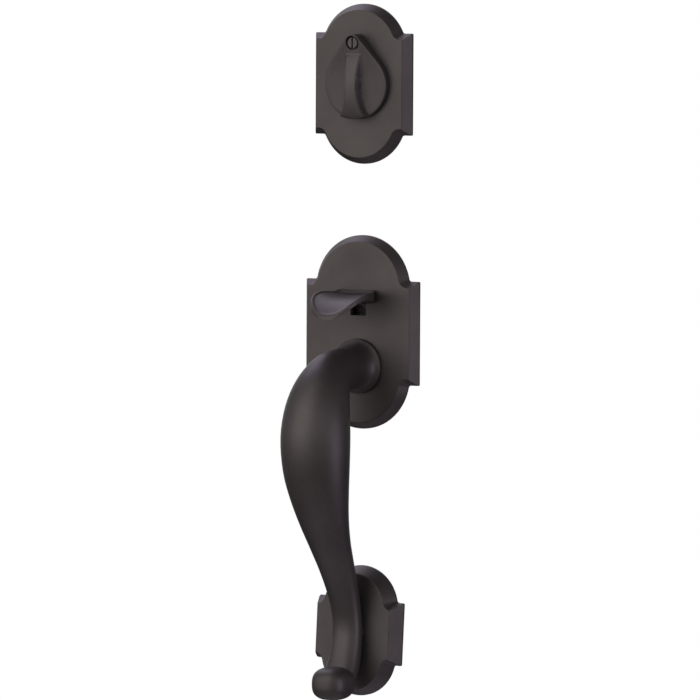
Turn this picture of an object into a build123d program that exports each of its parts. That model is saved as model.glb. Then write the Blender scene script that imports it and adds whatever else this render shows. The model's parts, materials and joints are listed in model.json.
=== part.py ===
from build123d import *
import os
from math import atan2, cos, degrees, hypot, radians, sin

# Outside half of an entry door handleset: deadbolt trim, thumb latch plate, sculpted grip and foot.
# It is drawn in the door's frame, x across, y up and z out of the door, and turned upright to save:
# the saved frame has X across, Y into the door and Z up. The origin is the centre of the latch bore
# on the door's face.

# Bores in the door
bolt_rise = 139.7
foot_drop = 168.7
screw_spacing = 38.1

# What the three plates share
edge_land = 1.2
rim_wall = 3.2
shoulder_round = 1.6
corner_round = 0.8
face_edge_round = 0.7
small_chamfer = 0.4

# Deadbolt plate
bolt_plate_width = 62.6
bolt_plate_height = 90.0
bolt_plate_wings = 57.2
bolt_plate_ledge = 6.3
bolt_plate_depth = 7.0
bolt_plate_bevel = 3.5

# Latch plate
latch_plate_width = 73.2
latch_plate_height = 109.2
latch_plate_wings = 58.5
latch_plate_ledge = 6.8
latch_plate_depth = 6.3
latch_plate_bevel = 3.6

# Foot plate
foot_plate_width = 54.8
foot_plate_height = 73.8
foot_plate_wings = 35.5
foot_plate_ledge = 4.6
foot_plate_depth = 10.3
foot_plate_bevel = 3.9
foot_turn = 2.6
foot_shift = 0.4

# Walls behind the plates' faces, and the bosses on them
face_wall = 3.0
boss_wall = 2.4
post_boss_wall = 1.8

# Tapped posts that the screws from inside pull on
post_radius = 2.9
post_tap_radius = 2.1
post_tap_depth = 10.0
post_stub_radius = 1.6
post_stub_length = 2.4
bolt_post_length = 15.0
latch_post_length = 22.0
post_seat_depth = 0.8

# Lock cylinder
barrel_radius = 14.6
barrel_length = 30.0
barrel_rim_radius = 16.6
barrel_rim_height = 1.9
barrel_fit = 0.1
barrel_face_step = 0.1
plug_radius = 6.3
plug_fit = 0.08
plug_rim_radius = 7.4
plug_rim_height = 1.2
plug_face_step = 0.2
keyway_width = 2.0
keyway_height = 8.6
keyway_ward = 0.9
keyway_drop = 0.6
plug_end_wall = 2.0
pin_pitch = 3.9
first_pin_depth = 10.0
pin_radius = 1.4
pin_fit = 0.06
key_pin_lengths = (4.2, 5.4, 3.9, 5.9, 4.8)
pin_point = 0.7
pin_top_gap = 0.25
driver_length = 3.4
pin_gap = 0.1
chamber_top = 13.0
pin_spring_wire = 0.6
pin_spring_turns = 3
pin_cover_width = 4.6
pin_cover_height = 0.8
clip_thickness = 0.9
clip_width = 2.1
clip_groove = 0.8
clip_mouth_angle = 50.0
clip_shelf = 0.7

# Tailpiece and its cap
tail_stub_radius = 5.0
tail_stub_length = 2.0
cap_radius = 7.2
cap_length = 4.4
cap_wall = 1.2
cap_gap = 0.3
cap_fit = 0.1
tail_width = 7.6
tail_thickness = 2.4
tail_length = 18.0
tail_head_height = 1.0
tail_head_radius = 4.6

# Keyway flap and its screw
flap_radius = 19.6
flap_lug_radius = 4.9
flap_pivot_rise = 23.2
flap_gap = 0.3
flap_rim = 3.0
flap_lug_height = 7.5
flap_crest = 10.0
ridge_top = 17.5
ridge_waist = -3.0
ridge_half_top = 4.6
ridge_half_waist = 3.2
ridge_half_foot = 8.8
ridge_wall_round = 2.4
ridge_end_step = 0.5
flap_recess_radius = 15.5
flap_recess_depth = 0.9
flap_edge_round = 0.4
flap_seat_height = 4.9
flap_seat_radius = 4.1
flap_screw_radius = 2.2
flap_screw_fit = 0.06
flap_thread_radius = 1.6
flap_thread_gap = 0.5
flap_head_radius = 3.3
flap_head_height = 1.9
flap_head_round = 0.5
flap_slot_width = 1.0
flap_slot_depth = 1.1
flap_washer_radius = 3.6
flap_washer_thickness = 0.4
flap_washer_gap = 0.05
flap_washer_fit = 0.1

# Thumbpiece: half widths and heights along its reach from the door
slot_width = 10.0
slot_top = 21.6
slot_bottom = 9.5
slot_corner_round = 0.6
pad_back = 7.0
pad_back_half = 10.7
pad_widest = 16.6
pad_widest_at = 23.5
pad_reach = 43.3
pad_top = 21.6
pad_droop = 12.1
pad_thickness = 5.5
pad_lip = 2.0
pad_dish_radius = 90.0
pad_edge_round = 0.5

# Thumb lever inside, its bracket and pin
lever_width = 8.4
lever_pivot_height = 12.0
lever_pivot_depth = 5.0
lever_hub_radius = 3.4
lever_arm_width = 3.2
lever_arm_height = 6.4
lever_arm_end = 4.6
lever_arm_reach = 40.0
lever_arm_sag = 2.0
thumb_pin_radius = 1.5
thumb_pin_fit = 0.06
thumb_pin_head = 2.6
thumb_pin_head_height = 1.2
thumb_pin_groove = 0.4
thumb_pin_end = 0.6
thumb_clip_thickness = 0.6
thumb_clip_radius = 3.0
thumb_clip_mouth = 1.6
bracket_sheet = 1.2
bracket_half = 7.8
bracket_top = 34.0
bracket_foot = -4.0
bracket_window = 18.0
bracket_window_gap = 0.2
bracket_window_rise = 1.0
bracket_corner_round = 2.0
bracket_ear_round = 3.0
bracket_ear_height = 13.0
bracket_ear_depth = 18.0
bracket_seat = 1.0
bracket_screw_radius = 1.5
bracket_screw_fit = 0.1
bracket_screw_head = 2.8
bracket_screw_head_height = 1.8
bracket_screw_length = 3.6
bracket_screw_top = 30.0
bracket_screw_low = 0.0
bracket_head_round = 0.9
bracket_cross_width = 0.7
bracket_cross_length = 3.6
bracket_cross_depth = 0.8
spring_wire = 0.6
spring_turns = 2
spring_step = 0.1
spring_side_gap = 0.15
spring_leg = 6.5

# Grip: where its centre line runs and how thick it is
grip_top_drop = 18.9
grip_base_radius = 15.0
grip_base_edge = 1.0
grip_flare_height = 12.0
grip_neck_radius = 10.5
belly_reach = 53.3
belly_half_width = 20.0
belly_half_depth = 18.3
waist_half_depth = 6.2
waist_pad_radius = 6.6
waist_pad_depth = 5.0
tail_end_width = 20.0
tail_end_height = 18.7
tail_end_back = 18.5
tail_end_front = 43.9
tail_end_round = 6.8
tail_end_drop = 27.8

# Bolts that hold the grip
grip_bolt_radius = 4.0
grip_bolt_fit = 0.3
grip_bolt_reach = 16.0
grip_bolt_head = 6.35
grip_bolt_head_height = 4.6
grip_washer_radius = 8.0
grip_washer_thickness = 1.2
foot_stud_radius = 3.0
foot_stud_fit = 0.8
foot_stud_in_grip = 8.0
foot_stud_in_post = 10.0
foot_post_radius = 5.0
foot_post_length = 30.0
foot_flange_radius = 8.0
foot_flange_height = 2.0
foot_tap_radius = 2.5
foot_tap_depth = 14.0
bore_runout = 0.5


def disc(radius, low, high):
    """Cylinder on the z axis between two heights."""
    return Pos(0, 0, (low + high) / 2) * Cylinder(radius, high - low)


def cross_rod(radius, left, right):
    """Cylinder along x between two places."""
    return Pos((left + right) / 2, 0, 0) * Rot(0, 90, 0) * Cylinder(radius, right - left)


def hexagon(half_flats, low, high):
    """Hexagonal prism on the z axis."""
    flat = RegularPolygon(half_flats, 6, major_radius=False)
    return Pos(0, 0, low) * extrude(flat, high - low)


def plate_outline(width, height, wings, ledge):
    """Rectangular wings with a round head and foot, and soft shoulders on the ledges between them."""
    half_chord = width / 2 - ledge
    rise = (height - wings) / 2
    radius = (rise**2 + half_chord**2) / (2 * rise)
    head = Pos(0, height / 2 - radius) * Circle(radius) & Pos(0, height / 2) * Rectangle(width, 2 * rise)
    outline = Rectangle(width, wings) + head + Rot(0, 0, 180) * head
    inner = [v for v in outline.vertices() if abs(abs(v.X) - half_chord) < 0.01]
    outline = fillet(inner, shoulder_round)
    outer = [v for v in outline.vertices() if abs(abs(v.X) - width / 2) < 0.01]
    return fillet(outer, corner_round)


def plate_casting(width, height, wings, ledge, depth, bevel):
    """Bevelled plate with a hollow back that leaves the face wall and the rim."""
    outline = plate_outline(width, height, wings, ledge)
    slope = degrees(atan2(bevel, depth - edge_land))
    body = extrude(outline, edge_land)
    body += extrude(Pos(0, 0, edge_land) * outline, depth - edge_land, taper=slope)
    face = body.faces().sort_by(Axis.Z)[-1]
    body = fillet(face.edges(), face_edge_round)
    less = 2 * rim_wall
    return body - extrude(plate_outline(width - less, height - less, wings - less, ledge), depth - face_wall)


def tapped_post(length):
    """Round post behind its seat, with a stub in the plate and a tapped hole from the back."""
    top = post_seat_depth
    post = disc(post_radius, top - length, top)
    post += disc(post_stub_radius, top, top + post_stub_length)
    post = chamfer(post.edges().filter_by(GeomType.CIRCLE).sort_by(Axis.Z)[0], small_chamfer)
    return post - disc(post_tap_radius, top - length - 1, top - length + post_tap_depth)


def post_pair(length):
    """The same post at both sides of the bore."""
    half = screw_spacing / 2
    return [Pos(side * half, 0, 0) * tapped_post(length) for side in (-1, 1)]


def post_bosses(depth):
    """Bosses inside a hollow plate that the posts stand on."""
    half = screw_spacing / 2
    boss = disc(post_radius + post_boss_wall, post_seat_depth, depth - face_wall)
    return Pos(-half, 0, 0) * boss + Pos(half, 0, 0) * boss


def post_sockets():
    """Holes in the bosses that take the stubs."""
    half = screw_spacing / 2
    hole = disc(post_stub_radius, post_seat_depth - 1, post_seat_depth + post_stub_length)
    return Pos(-half, 0, 0) * hole + Pos(half, 0, 0) * hole


# Heights of the deadbolt trim's faces out of the door
bolt_floor = bolt_plate_depth - face_wall
rim_seat = bolt_plate_depth - barrel_face_step - barrel_rim_height
barrel_face = rim_seat + barrel_rim_height
clip_top = post_seat_depth + clip_shelf
plug_face = barrel_face - plug_face_step
barrel_back = rim_seat - barrel_length
flap_back = bolt_plate_depth + flap_gap
washer_low = flap_back + flap_seat_height + flap_washer_gap
flap_head_seat = washer_low + flap_washer_thickness


def deadbolt_plate():
    size = (bolt_plate_width, bolt_plate_height, bolt_plate_wings, bolt_plate_ledge)
    plate = plate_casting(*size, bolt_plate_depth, bolt_plate_bevel)
    plate += disc(barrel_rim_radius + boss_wall, clip_top, bolt_floor)
    plate += post_bosses(bolt_plate_depth)
    plate += Pos(0, flap_pivot_rise, 0) * disc(flap_thread_radius + boss_wall, clip_top, bolt_floor)
    plate -= disc(barrel_radius + barrel_fit, -1, bolt_plate_depth + 1)
    plate -= disc(barrel_rim_radius + barrel_fit, rim_seat, bolt_plate_depth + 1)
    plate -= Pos(0, flap_pivot_rise, 0) * disc(flap_thread_radius, -1, bolt_plate_depth + 1)
    room = disc(barrel_radius - clip_groove + clip_width + barrel_fit, -1, clip_top)
    return plate - room - post_sockets()


def pin_places():
    """Depths of the pin chambers behind the plug's face."""
    return [plug_face - first_pin_depth - n * pin_pitch for n in range(len(key_pin_lengths))]


def cylinder_housing():
    barrel = disc(barrel_radius, barrel_back, rim_seat) + disc(barrel_rim_radius, rim_seat, barrel_face)
    barrel = chamfer(barrel.edges().filter_by(GeomType.CIRCLE).sort_by(Axis.Z)[-1], small_chamfer)
    barrel -= disc(plug_radius + plug_fit, barrel_back - 1, barrel_face + 1)
    barrel -= disc(plug_rim_radius + plug_fit, plug_face - plug_rim_height, barrel_face + 1)
    groove = disc(barrel_radius + 1, clip_top - clip_thickness, clip_top)
    barrel -= groove - disc(barrel_radius - clip_groove, -1, clip_top + 1)
    for place in pin_places():
        barrel -= Pos(0, 0, place) * Rot(-90, 0, 0) * disc(pin_radius + pin_fit, 0, barrel_radius)
    return barrel - cover_groove()


def cover_groove():
    """Slot along the barrel that the chamber cover lies in."""
    low, high = cover_ends()
    return Pos(0, chamber_top, (low + high) / 2) * Box(
        pin_cover_width, barrel_radius, high - low, align=(Align.CENTER, Align.MIN, Align.CENTER)
    )


def cover_ends():
    places = pin_places()
    return places[-1] - 2 * pin_radius, places[0] + 2 * pin_radius


def pin_cover():
    low, high = cover_ends()
    return Pos(0, chamber_top, (low + high) / 2) * Box(
        pin_cover_width, pin_cover_height, high - low, align=(Align.CENTER, Align.MIN, Align.CENTER)
    )


def keyway():
    """Keyway through the plug: a slot with one ward groove in its side."""
    length = barrel_length + plug_rim_height + tail_stub_length
    slot = Box(keyway_width, keyway_height, 2 * length)
    ward = Pos(keyway_width / 2, -keyway_height / 6, 0) * Box(keyway_ward, keyway_height / 5, 2 * length)
    return Pos(0, -keyway_drop, 0) * (slot + ward)


def cylinder_plug():
    stub_end = barrel_back - tail_stub_length
    plug = disc(plug_radius, barrel_back, plug_face)
    plug += disc(plug_rim_radius, plug_face - plug_rim_height, plug_face)
    plug = chamfer(plug.edges().filter_by(GeomType.CIRCLE).sort_by(Axis.Z)[-1], small_chamfer)
    plug += disc(tail_stub_radius, stub_end, barrel_back)
    plug -= keyway() - disc(plug_rim_radius, -3 * barrel_length, barrel_back + plug_end_wall)
    for place, length in zip(pin_places(), key_pin_lengths):
        hole = disc(pin_radius + pin_fit, plug_radius - length - pin_fit, plug_radius + 1)
        plug -= Pos(0, 0, place) * Rot(-90, 0, 0) * hole
    return plug


def key_pins():
    pins = []
    for place, length in zip(pin_places(), key_pin_lengths):
        low = plug_radius - length
        top = plug_radius - pin_top_gap
        pin = disc(pin_radius, low, top)
        pin = chamfer(pin.edges().filter_by(GeomType.CIRCLE).sort_by(Axis.Z)[0], pin_point)
        pins.append(Pos(0, 0, place) * Rot(-90, 0, 0) * pin)
    return pins


def driver_pins():
    low = plug_radius + plug_fit + pin_gap
    pin = disc(pin_radius, low, low + driver_length)
    return [Pos(0, 0, place) * Rot(-90, 0, 0) * pin for place in pin_places()]


def pin_springs():
    low = plug_radius + plug_fit + pin_gap + driver_length + pin_spring_wire / 2
    height = chamber_top - pin_spring_wire / 2 - low
    coil = Helix(pitch=height / pin_spring_turns, height=height, radius=pin_radius - pin_spring_wire / 2)
    section = RegularPolygon(pin_spring_wire / 2, 6)
    wire = sweep(Plane(origin=coil @ 0, z_dir=coil % 0) * section, path=coil, is_frenet=True)
    return [Pos(0, 0, place) * Rot(-90, 0, 0) * Pos(0, 0, low) * wire for place in pin_places()]


def cylinder_clip():
    inner = barrel_radius - clip_groove
    low = clip_top - clip_thickness
    ring = disc(inner + clip_width, low, clip_top) - disc(inner, low - 1, clip_top + 1)
    half = radians(clip_mouth_angle / 2)
    far = 2 * barrel_radius
    mouth = Polygon((0, 0), (far * sin(half), -far * cos(half)), (-far * sin(half), -far * cos(half)), align=None)
    return ring - Pos(0, 0, low - 1) * extrude(mouth, clip_thickness + 2)


def tailpiece():
    head_top = barrel_back - tail_stub_length
    head = disc(tail_head_radius, head_top - tail_head_height, head_top)
    low = head_top - tail_head_height - tail_length
    blade = Pos(0, 0, (low + head_top) / 2) * Box(tail_thickness, tail_width, head_top - low)
    blade = chamfer(blade.edges().filter_by(Axis.X).sort_by(Axis.Z)[:2], 2 * small_chamfer)
    return head + blade


def tailpiece_cap():
    top = barrel_back - cap_gap
    cap = disc(cap_radius, top - cap_length, top)
    cap -= disc(tail_stub_radius, top - cap_length + cap_wall, top + 1)
    cap = chamfer(cap.edges().filter_by(GeomType.CIRCLE).sort_by(Axis.Z)[0], small_chamfer)
    return cap - disc(hypot(tail_width, tail_thickness) / 2 + cap_fit, top - cap_length - 1, top)


def flap_outline():
    """Teardrop: round cover below, small lug round the screw above, straight flanks between."""
    lug = Pos(0, flap_pivot_rise) * Circle(flap_lug_radius)
    lean = (flap_radius - flap_lug_radius) / flap_pivot_rise
    side = (1 - lean**2) ** 0.5
    low = Vector(flap_radius * side, flap_radius * lean)
    high = Vector(flap_lug_radius * side, flap_pivot_rise + flap_lug_radius * lean)
    flank = Polygon(low, high, (-high.X, high.Y), (-low.X, low.Y), align=None)
    return Circle(flap_radius) + lug + flank


def flap_fall():
    """Radius of the hollow arc that the flap's face follows, level at the rim and rising to the screw."""
    rise = flap_lug_height - flap_rim
    run = flap_radius + flap_pivot_rise
    return (run**2 + rise**2) / (2 * rise)


def face_height(up):
    """Thickness of the flap at a height above the plug."""
    return flap_rim + flap_fall() - (flap_fall() ** 2 - (flap_radius + up) ** 2) ** 0.5


def flap_hollow():
    """The cylinder whose wall is the flap's face."""
    centre = flap_back + flap_rim + flap_fall()
    return Pos(0, -flap_radius, centre) * Rot(0, 90, 0) * Cylinder(flap_fall(), 4 * flap_radius)


def ridge_pocket():
    """What is cut away at the right of the grip ridge, with a round foot along the ridge's wall."""
    foot = -flap_radius
    side = Spline(
        (ridge_half_top, ridge_top),
        (ridge_half_waist, ridge_waist),
        (ridge_half_foot, foot),
        tangents=((-0.1, -1), (1, -0.8)),
    )
    far = 2 * flap_radius
    border = Polyline(side @ 1, (far, foot), (far, far), (ridge_half_top, far), side @ 0)
    pocket = Pos(0, 0, flap_back) * extrude(make_face([side, border]), far) & flap_hollow()
    wall_foot = pocket.edges().filter_by(lambda e: e.center().X < ridge_half_foot).sort_by(Axis.Z)[0]
    return fillet(wall_foot, ridge_wall_round)


def flap_ridge():
    """Grip ridge: arched from the lug to the rim, and waisted between its pockets."""
    top = Vector(0, ridge_top, face_height(ridge_top) + ridge_end_step)
    crest = Vector(0, ridge_waist, flap_crest)
    rim = Vector(0, -flap_radius, flap_rim + ridge_end_step)
    low = Polyline(rim, (0, rim.Y, flap_edge_round), (0, top.Y, flap_edge_round), top)
    arched = extrude(make_face([ThreePointArc(top, crest, rim), low]), flap_radius, dir=(1, 0, 0), both=True)
    ridge = Pos(0, 0, flap_back) * arched & Pos(0, 0, flap_back) * extrude(flap_outline(), flap_crest)
    pocket = ridge_pocket()
    return ridge - pocket - mirror(pocket, Plane.YZ)


def keyway_flap():
    flap = Pos(0, 0, flap_back) * extrude(flap_outline(), flap_crest) - flap_hollow()
    flap = fillet(flap.edges().filter_by(lambda e: abs((e % 0.5).Z) < 0.5), flap_edge_round)
    flap += flap_ridge()
    flap -= disc(flap_recess_radius, flap_back - 1, flap_back + flap_recess_depth)
    seat = flap_back + flap_seat_height
    flap -= Pos(0, flap_pivot_rise, 0) * disc(flap_seat_radius, seat, seat + flap_crest)
    return flap - Pos(0, flap_pivot_rise, 0) * disc(flap_screw_radius + flap_screw_fit, 0, seat + 1)


def flap_screw():
    top = flap_head_seat + flap_head_height
    head = disc(flap_head_radius, flap_head_seat, top)
    head = fillet(head.edges().filter_by(GeomType.CIRCLE).sort_by(Axis.Z)[-1], flap_head_round)
    head -= Pos(0, 0, top) * Box(flap_slot_width, 3 * flap_head_radius, 2 * flap_slot_depth)
    screw = head + disc(flap_screw_radius, bolt_plate_depth, flap_head_seat)
    screw += disc(flap_thread_radius, clip_top + flap_thread_gap, bolt_plate_depth)
    return Pos(0, flap_pivot_rise, 0) * screw


def flap_washer():
    ring = disc(flap_washer_radius, washer_low, flap_head_seat)
    ring -= disc(flap_screw_radius + flap_washer_fit, 0, flap_head_seat + 1)
    return Pos(0, flap_pivot_rise, 0) * ring


# Heights of the latch plate's faces out of the door, and the lever's pivot
latch_floor = latch_plate_depth - face_wall
washer_back = latch_floor - grip_washer_thickness
bracket_back = bracket_seat - bracket_sheet
pivot = Pos(0, lever_pivot_height, -lever_pivot_depth)


def latch_plate():
    size = (latch_plate_width, latch_plate_height, latch_plate_wings, latch_plate_ledge)
    plate = plate_casting(*size, latch_plate_depth, latch_plate_bevel)
    plate += post_bosses(latch_plate_depth)
    for place in (bracket_screw_top, bracket_screw_low):
        plate += Pos(0, place, 0) * disc(bracket_screw_radius + boss_wall, bracket_seat, latch_floor)
        tap = bracket_seat + bracket_screw_length - bracket_sheet + bore_runout
        plate -= Pos(0, place, 0) * disc(bracket_screw_radius, 0, tap)
    slot_height = slot_top - slot_bottom
    slot = Pos(0, (slot_top + slot_bottom) / 2, 0) * Box(slot_width, slot_height, 3 * latch_plate_depth)
    plate -= fillet(slot.edges().filter_by(Axis.Z), slot_corner_round)
    plate -= Pos(0, -grip_top_drop, 0) * disc(grip_bolt_radius + grip_bolt_fit, 0, latch_plate_depth + 1)
    return plate - post_sockets()


def side_face(points_top, points_low):
    """Closed face in the plane across the lever, between a top and a bottom curve."""
    top = Spline(*[(0, y, z) for z, y in points_top])
    low = Spline(*[(0, y, z) for z, y in points_low])
    edges = [top, Line(top @ 1, low @ 1), low, Line(low @ 0, top @ 0)]
    return make_face(edges)


def thumb_pad():
    """Spoon of the thumbpiece: one section turned about a high axis, trimmed to its plan."""
    drop = pad_droop
    back, reach = pad_back, pad_reach
    top = [
        (back, pad_top),
        (back + 0.45 * (reach - back), pad_top - 0.05 * drop),
        (back + 0.66 * (reach - back), pad_top - 0.22 * drop),
        (back + 0.84 * (reach - back), pad_top - 0.48 * drop),
        (back + 0.94 * (reach - back), pad_top - 0.74 * drop),
        (reach, pad_top - drop),
    ]
    low_back = pad_top - pad_thickness
    low = [
        (back, low_back),
        (back + 0.40 * (reach - back), low_back + 0.10 * pad_thickness),
        (back + 0.66 * (reach - back), low_back - 0.03 * drop),
        (back + 0.82 * (reach - back), low_back - 0.24 * drop),
        (back + 0.92 * (reach - back), low_back - 0.48 * drop),
        (reach - 0.8 * pad_lip, pad_top - drop - 0.6 * pad_lip),
    ]
    section = side_face(top, low)
    axis = Axis((0, pad_top + pad_dish_radius, 0), (0, 0, 1))
    sweep_angle = degrees(2.6 * pad_widest / pad_dish_radius)
    spoon = revolve(section.rotate(axis, -sweep_angle / 2), axis, sweep_angle)
    half = Spline(
        (pad_back_half, back),
        (pad_widest, pad_widest_at),
        (0.82 * pad_widest, back + 0.81 * (reach - back)),
        (0.56 * pad_widest, back + 0.93 * (reach - back)),
        (0, reach),
        tangents=((0.5, 1), (-1, 0)),
    )
    plan = make_face([half, mirror(half, Plane.YZ), Line((pad_back_half, back), (-pad_back_half, back))])
    column = Plane(origin=(0, 0, 0), x_dir=(1, 0, 0), z_dir=(0, -1, 0)) * extrude(plan, 3 * pad_top, both=True)
    pad = spoon & column
    return fillet(pad.edges(), pad_edge_round)


def thumb_lever():
    hub = pivot * cross_rod(lever_hub_radius, -lever_width / 2, lever_width / 2)
    y, z = lever_pivot_height, -lever_pivot_depth
    low_back = pad_top - pad_thickness
    neck_points = [
        (0, y + lever_hub_radius, z - 0.5),
        (0, pad_top - 0.8, 1.0),
        (0, pad_top - 0.3, pad_back + 1.5),
        (0, low_back + 0.4, pad_back + 1.5),
        (0, low_back - 1.0, 2.0),
        (0, y - 2.4, z + 2.4),
    ]
    neck = extrude(make_face(Polyline(*neck_points, close=True)), lever_width / 2, dir=(1, 0, 0), both=True)
    end_y, end_z = y - lever_arm_sag, z - lever_arm_reach
    arm_points = [
        (0, y + lever_arm_height / 2, z),
        (0, y - lever_arm_height / 2, z),
        (0, end_y - lever_arm_end / 2, end_z),
        (0, end_y + lever_arm_end / 2, end_z),
    ]
    arm = extrude(make_face(Polyline(*arm_points, close=True)), lever_arm_width / 2, dir=(1, 0, 0), both=True)
    lever = hub + neck + arm + thumb_pad()
    bore = thumb_pin_radius + thumb_pin_fit
    return lever - pivot * cross_rod(bore, -lever_width, lever_width)


def thumb_bracket():
    height = bracket_top - bracket_foot
    middle = (bracket_top + bracket_foot) / 2
    base = Pos(0, middle, bracket_seat - bracket_sheet / 2) * Box(2 * bracket_half, height, bracket_sheet)
    base = fillet(base.edges().filter_by(Axis.Z), bracket_corner_round)
    window_top = slot_top + bracket_window_rise
    window = Box(slot_width + 2 * bracket_window_gap, bracket_window, 4 * bracket_sheet)
    window = Pos(0, window_top - bracket_window / 2, 0) * window
    base -= window
    ear = Pos(0, lever_pivot_height, bracket_seat - bracket_ear_depth / 2) * Box(
        2 * bracket_half, bracket_ear_height, bracket_ear_depth
    )
    ear = fillet(ear.edges().filter_by(Axis.X).sort_by(Axis.Z)[:2], bracket_ear_round)
    inside = Box(2 * (bracket_half - bracket_sheet), 2 * bracket_ear_height, 3 * bracket_ear_depth)
    ear -= Pos(0, lever_pivot_height, 0) * inside
    bracket = base + ear
    for place in (bracket_screw_top, bracket_screw_low):
        hole = disc(bracket_screw_radius + bracket_screw_fit, bracket_back - 1, bracket_seat + 1)
        bracket -= Pos(0, place, 0) * hole
    return bracket - pivot * cross_rod(thumb_pin_radius, -2 * bracket_half, 2 * bracket_half)


def bracket_screws():
    screw = disc(bracket_screw_radius, bracket_back, bracket_back + bracket_screw_length)
    head = disc(bracket_screw_head, bracket_back - bracket_screw_head_height, bracket_back)
    head = fillet(head.edges().filter_by(GeomType.CIRCLE).sort_by(Axis.Z)[0], bracket_head_round)
    screw += head
    low = bracket_back - bracket_screw_head_height
    slot = Pos(0, 0, low) * Box(bracket_cross_width, bracket_cross_length, 2 * bracket_cross_depth)
    screw -= slot + Rot(0, 0, 90) * slot
    return [Pos(0, place, 0) * screw for place in (bracket_screw_top, bracket_screw_low)]


def thumb_pin():
    end = bracket_half + thumb_clip_thickness + thumb_pin_end
    pin = cross_rod(thumb_pin_radius, -bracket_half, end)
    pin += cross_rod(thumb_pin_head, -bracket_half - thumb_pin_head_height, -bracket_half)
    groove = cross_rod(2 * thumb_pin_radius, bracket_half, bracket_half + thumb_clip_thickness)
    groove -= cross_rod(thumb_pin_radius - thumb_pin_groove, 0, 2 * end)
    return pivot * (pin - groove)


def thumb_pin_clip():
    left, right = bracket_half, bracket_half + thumb_clip_thickness
    clip = cross_rod(thumb_clip_radius, left, right)
    clip -= cross_rod(thumb_pin_radius - thumb_pin_groove, left - 1, right + 1)
    mouth = Box(3 * thumb_clip_thickness, 2 * thumb_pin_head, thumb_clip_mouth)
    mouth = Pos((left + right) / 2, -thumb_pin_head, 0) * mouth
    return pivot * (clip - mouth)


def thumb_spring():
    """Torsion spring on the pin: a straight leg on the bracket, coils, and a hook over the arm."""
    radius = lever_hub_radius + spring_step
    left = lever_width / 2 + spring_wire / 2 + spring_side_gap
    right = bracket_half - bracket_sheet - spring_wire / 2 - spring_side_gap
    coil = Helix(pitch=(right - left) / spring_turns, height=right - left, radius=radius)
    rest = lever_pivot_depth + bracket_back
    foot = Line(coil @ 0 - rest * (coil % 0), coil @ 0)
    corner = coil @ 1 + spring_leg * (coil % 1)
    hook = FilletPolyline(coil @ 1, corner, corner + Vector(0, 0, left), radius=2 * spring_wire)
    path = Wire([foot, coil, *hook.edges()])
    wire = sweep(Plane(origin=foot @ 0, z_dir=foot % 0) * Circle(spring_wire / 2), path=path)
    wire = Plane(origin=(right, 0, 0), x_dir=(0, 1, 0), z_dir=(-1, 0, 0)) * wire
    return pivot * wire


waist_reach = foot_plate_depth + waist_half_depth
grip_low = -foot_drop
grip_high = -grip_top_drop

# Stations of the grip: share of the way down from boss to foot, share of the reach from waist to
# belly, and shares of the belly's half width and half depth
grip_stations = (
    (0.000, -0.10, 0.555, 0.607),
    (0.000, 0.08, 0.550, 0.601),
    (0.004, 0.31, 0.565, 0.617),
    (0.027, 0.58, 0.645, 0.721),
    (0.081, 0.80, 0.805, 0.858),
    (0.154, 0.94, 0.935, 0.945),
    (0.254, 1.00, 1.000, 1.000),
    (0.370, 0.97, 0.965, 0.934),
    (0.470, 0.87, 0.860, 0.814),
    (0.561, 0.735, 0.740, 0.672),
    (0.654, 0.55, 0.620, 0.541),
    (0.746, 0.34, 0.530, 0.432),
    (0.840, 0.15, 0.465, 0.366),
    (0.925, 0.03, 0.430, 0.339),
    (1.000, 0.00, 0.430, 0.339),
    (1.069, 0.05, 0.445, 0.377),
    (1.142, 0.18, 0.475, 0.415),
    (1.168, 0.31, 0.450, 0.390),
)


def grip_stem():
    """Sculpted stem: ovals lofted along the centre line."""
    reach = belly_reach - waist_reach
    fall = grip_high - grip_low
    places = [(0, grip_high - down * fall, waist_reach + out * reach) for down, out, _, _ in grip_stations]
    line = Spline(*places, tangents=((0, 0, 1), (0, -0.6, 1)))
    ovals = []
    for place, (_, _, wide, deep) in zip(places, grip_stations):
        along = line % line.param_at_point(place)
        oval = Ellipse(wide * belly_half_width, deep * belly_half_depth)
        ovals.append(Plane(origin=place, x_dir=(1, 0, 0), z_dir=along) * oval)
    return loft(ovals)


def grip_boss():
    """Trumpet foot of the grip on the latch plate."""
    base = latch_plate_depth
    edge = base + grip_base_edge
    top = edge + grip_flare_height
    flare = TangentArc((grip_neck_radius, top), (grip_base_radius, edge), tangent=(0, -1))
    border = Polyline(flare @ 0, (0, top), (0, base), (grip_base_radius, base), flare @ 1)
    return revolve(Plane.XZ * make_face([flare, border]), Axis.Z, 360)


def grip_tail_end():
    """Blunt end of the curled tail: a block with deeply rounded edges."""
    block = Box(tail_end_width, tail_end_height, tail_end_front - tail_end_back)
    block = fillet(block.edges(), tail_end_round)
    return Pos(0, 0, (tail_end_back + tail_end_front) / 2) * block


def grip():
    body = grip_stem() + Pos(0, grip_high, 0) * grip_boss()
    body += Pos(0, grip_low - tail_end_drop, 0) * grip_tail_end()
    seat = foot_plate_depth
    body += Pos(0, grip_low, 0) * disc(waist_pad_radius, seat, seat + waist_pad_depth)
    bolt_end = latch_plate_depth + grip_bolt_reach + bore_runout
    body -= Pos(0, grip_high, 0) * disc(grip_bolt_radius, 0, bolt_end)
    return body - Pos(0, grip_low, 0) * disc(foot_stud_radius, 0, seat + foot_stud_in_grip + bore_runout)


def grip_bolt():
    low = washer_back - grip_bolt_head_height
    bolt = hexagon(grip_bolt_head, low, washer_back)
    bolt += disc(grip_bolt_radius, washer_back, latch_plate_depth + grip_bolt_reach)
    return Pos(0, grip_high, 0) * bolt


def grip_bolt_washer():
    ring = disc(grip_washer_radius, washer_back, latch_floor)
    return Pos(0, grip_high, 0) * (ring - disc(grip_bolt_radius + grip_bolt_fit, 0, latch_floor + 1))


foot_floor = foot_plate_depth - face_wall


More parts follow.
